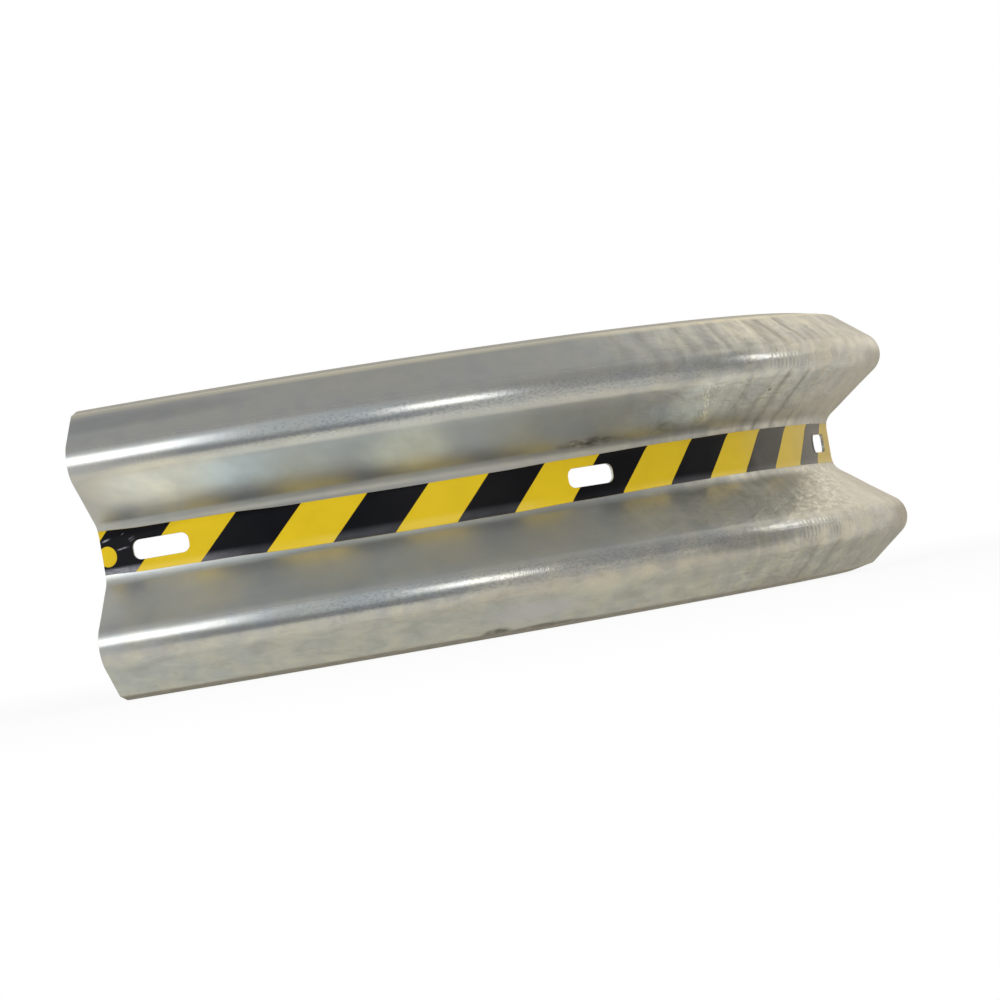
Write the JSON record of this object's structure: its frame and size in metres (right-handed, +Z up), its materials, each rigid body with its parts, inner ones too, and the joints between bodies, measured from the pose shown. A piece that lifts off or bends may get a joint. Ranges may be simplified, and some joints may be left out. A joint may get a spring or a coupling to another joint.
{
  "type": "guard rail",
  "caption": "Galvanised W-beam guard rail bent to a quarter circle, crests outside, with oblong bolt slots and a black and yellow hazard tape along its valley.",
  "frame": {"origin": "on the ground under the middle of the bounding box, with the rail standing on the edge of its lower lip", "axes": "+Z up, along the height of the W section; +X from the left end to the right end; -Y is the front, where the crests face, and the axis of the bend is upright behind it"},
  "size_m": [1.1208, 0.29, 0.3101],
  "materials": {
    "galvanised_steel": "hot-dip galvanised, satin, weathered",
    "yellow_film": "semi-gloss film",
    "black_print": "semi-gloss print"
  },
  "bodies": {
    "root": {"rail": "galvanised_steel", "hazard_tape": "yellow_film", "tape_black_bars": "black_print"}
  },
  "joints": []
}
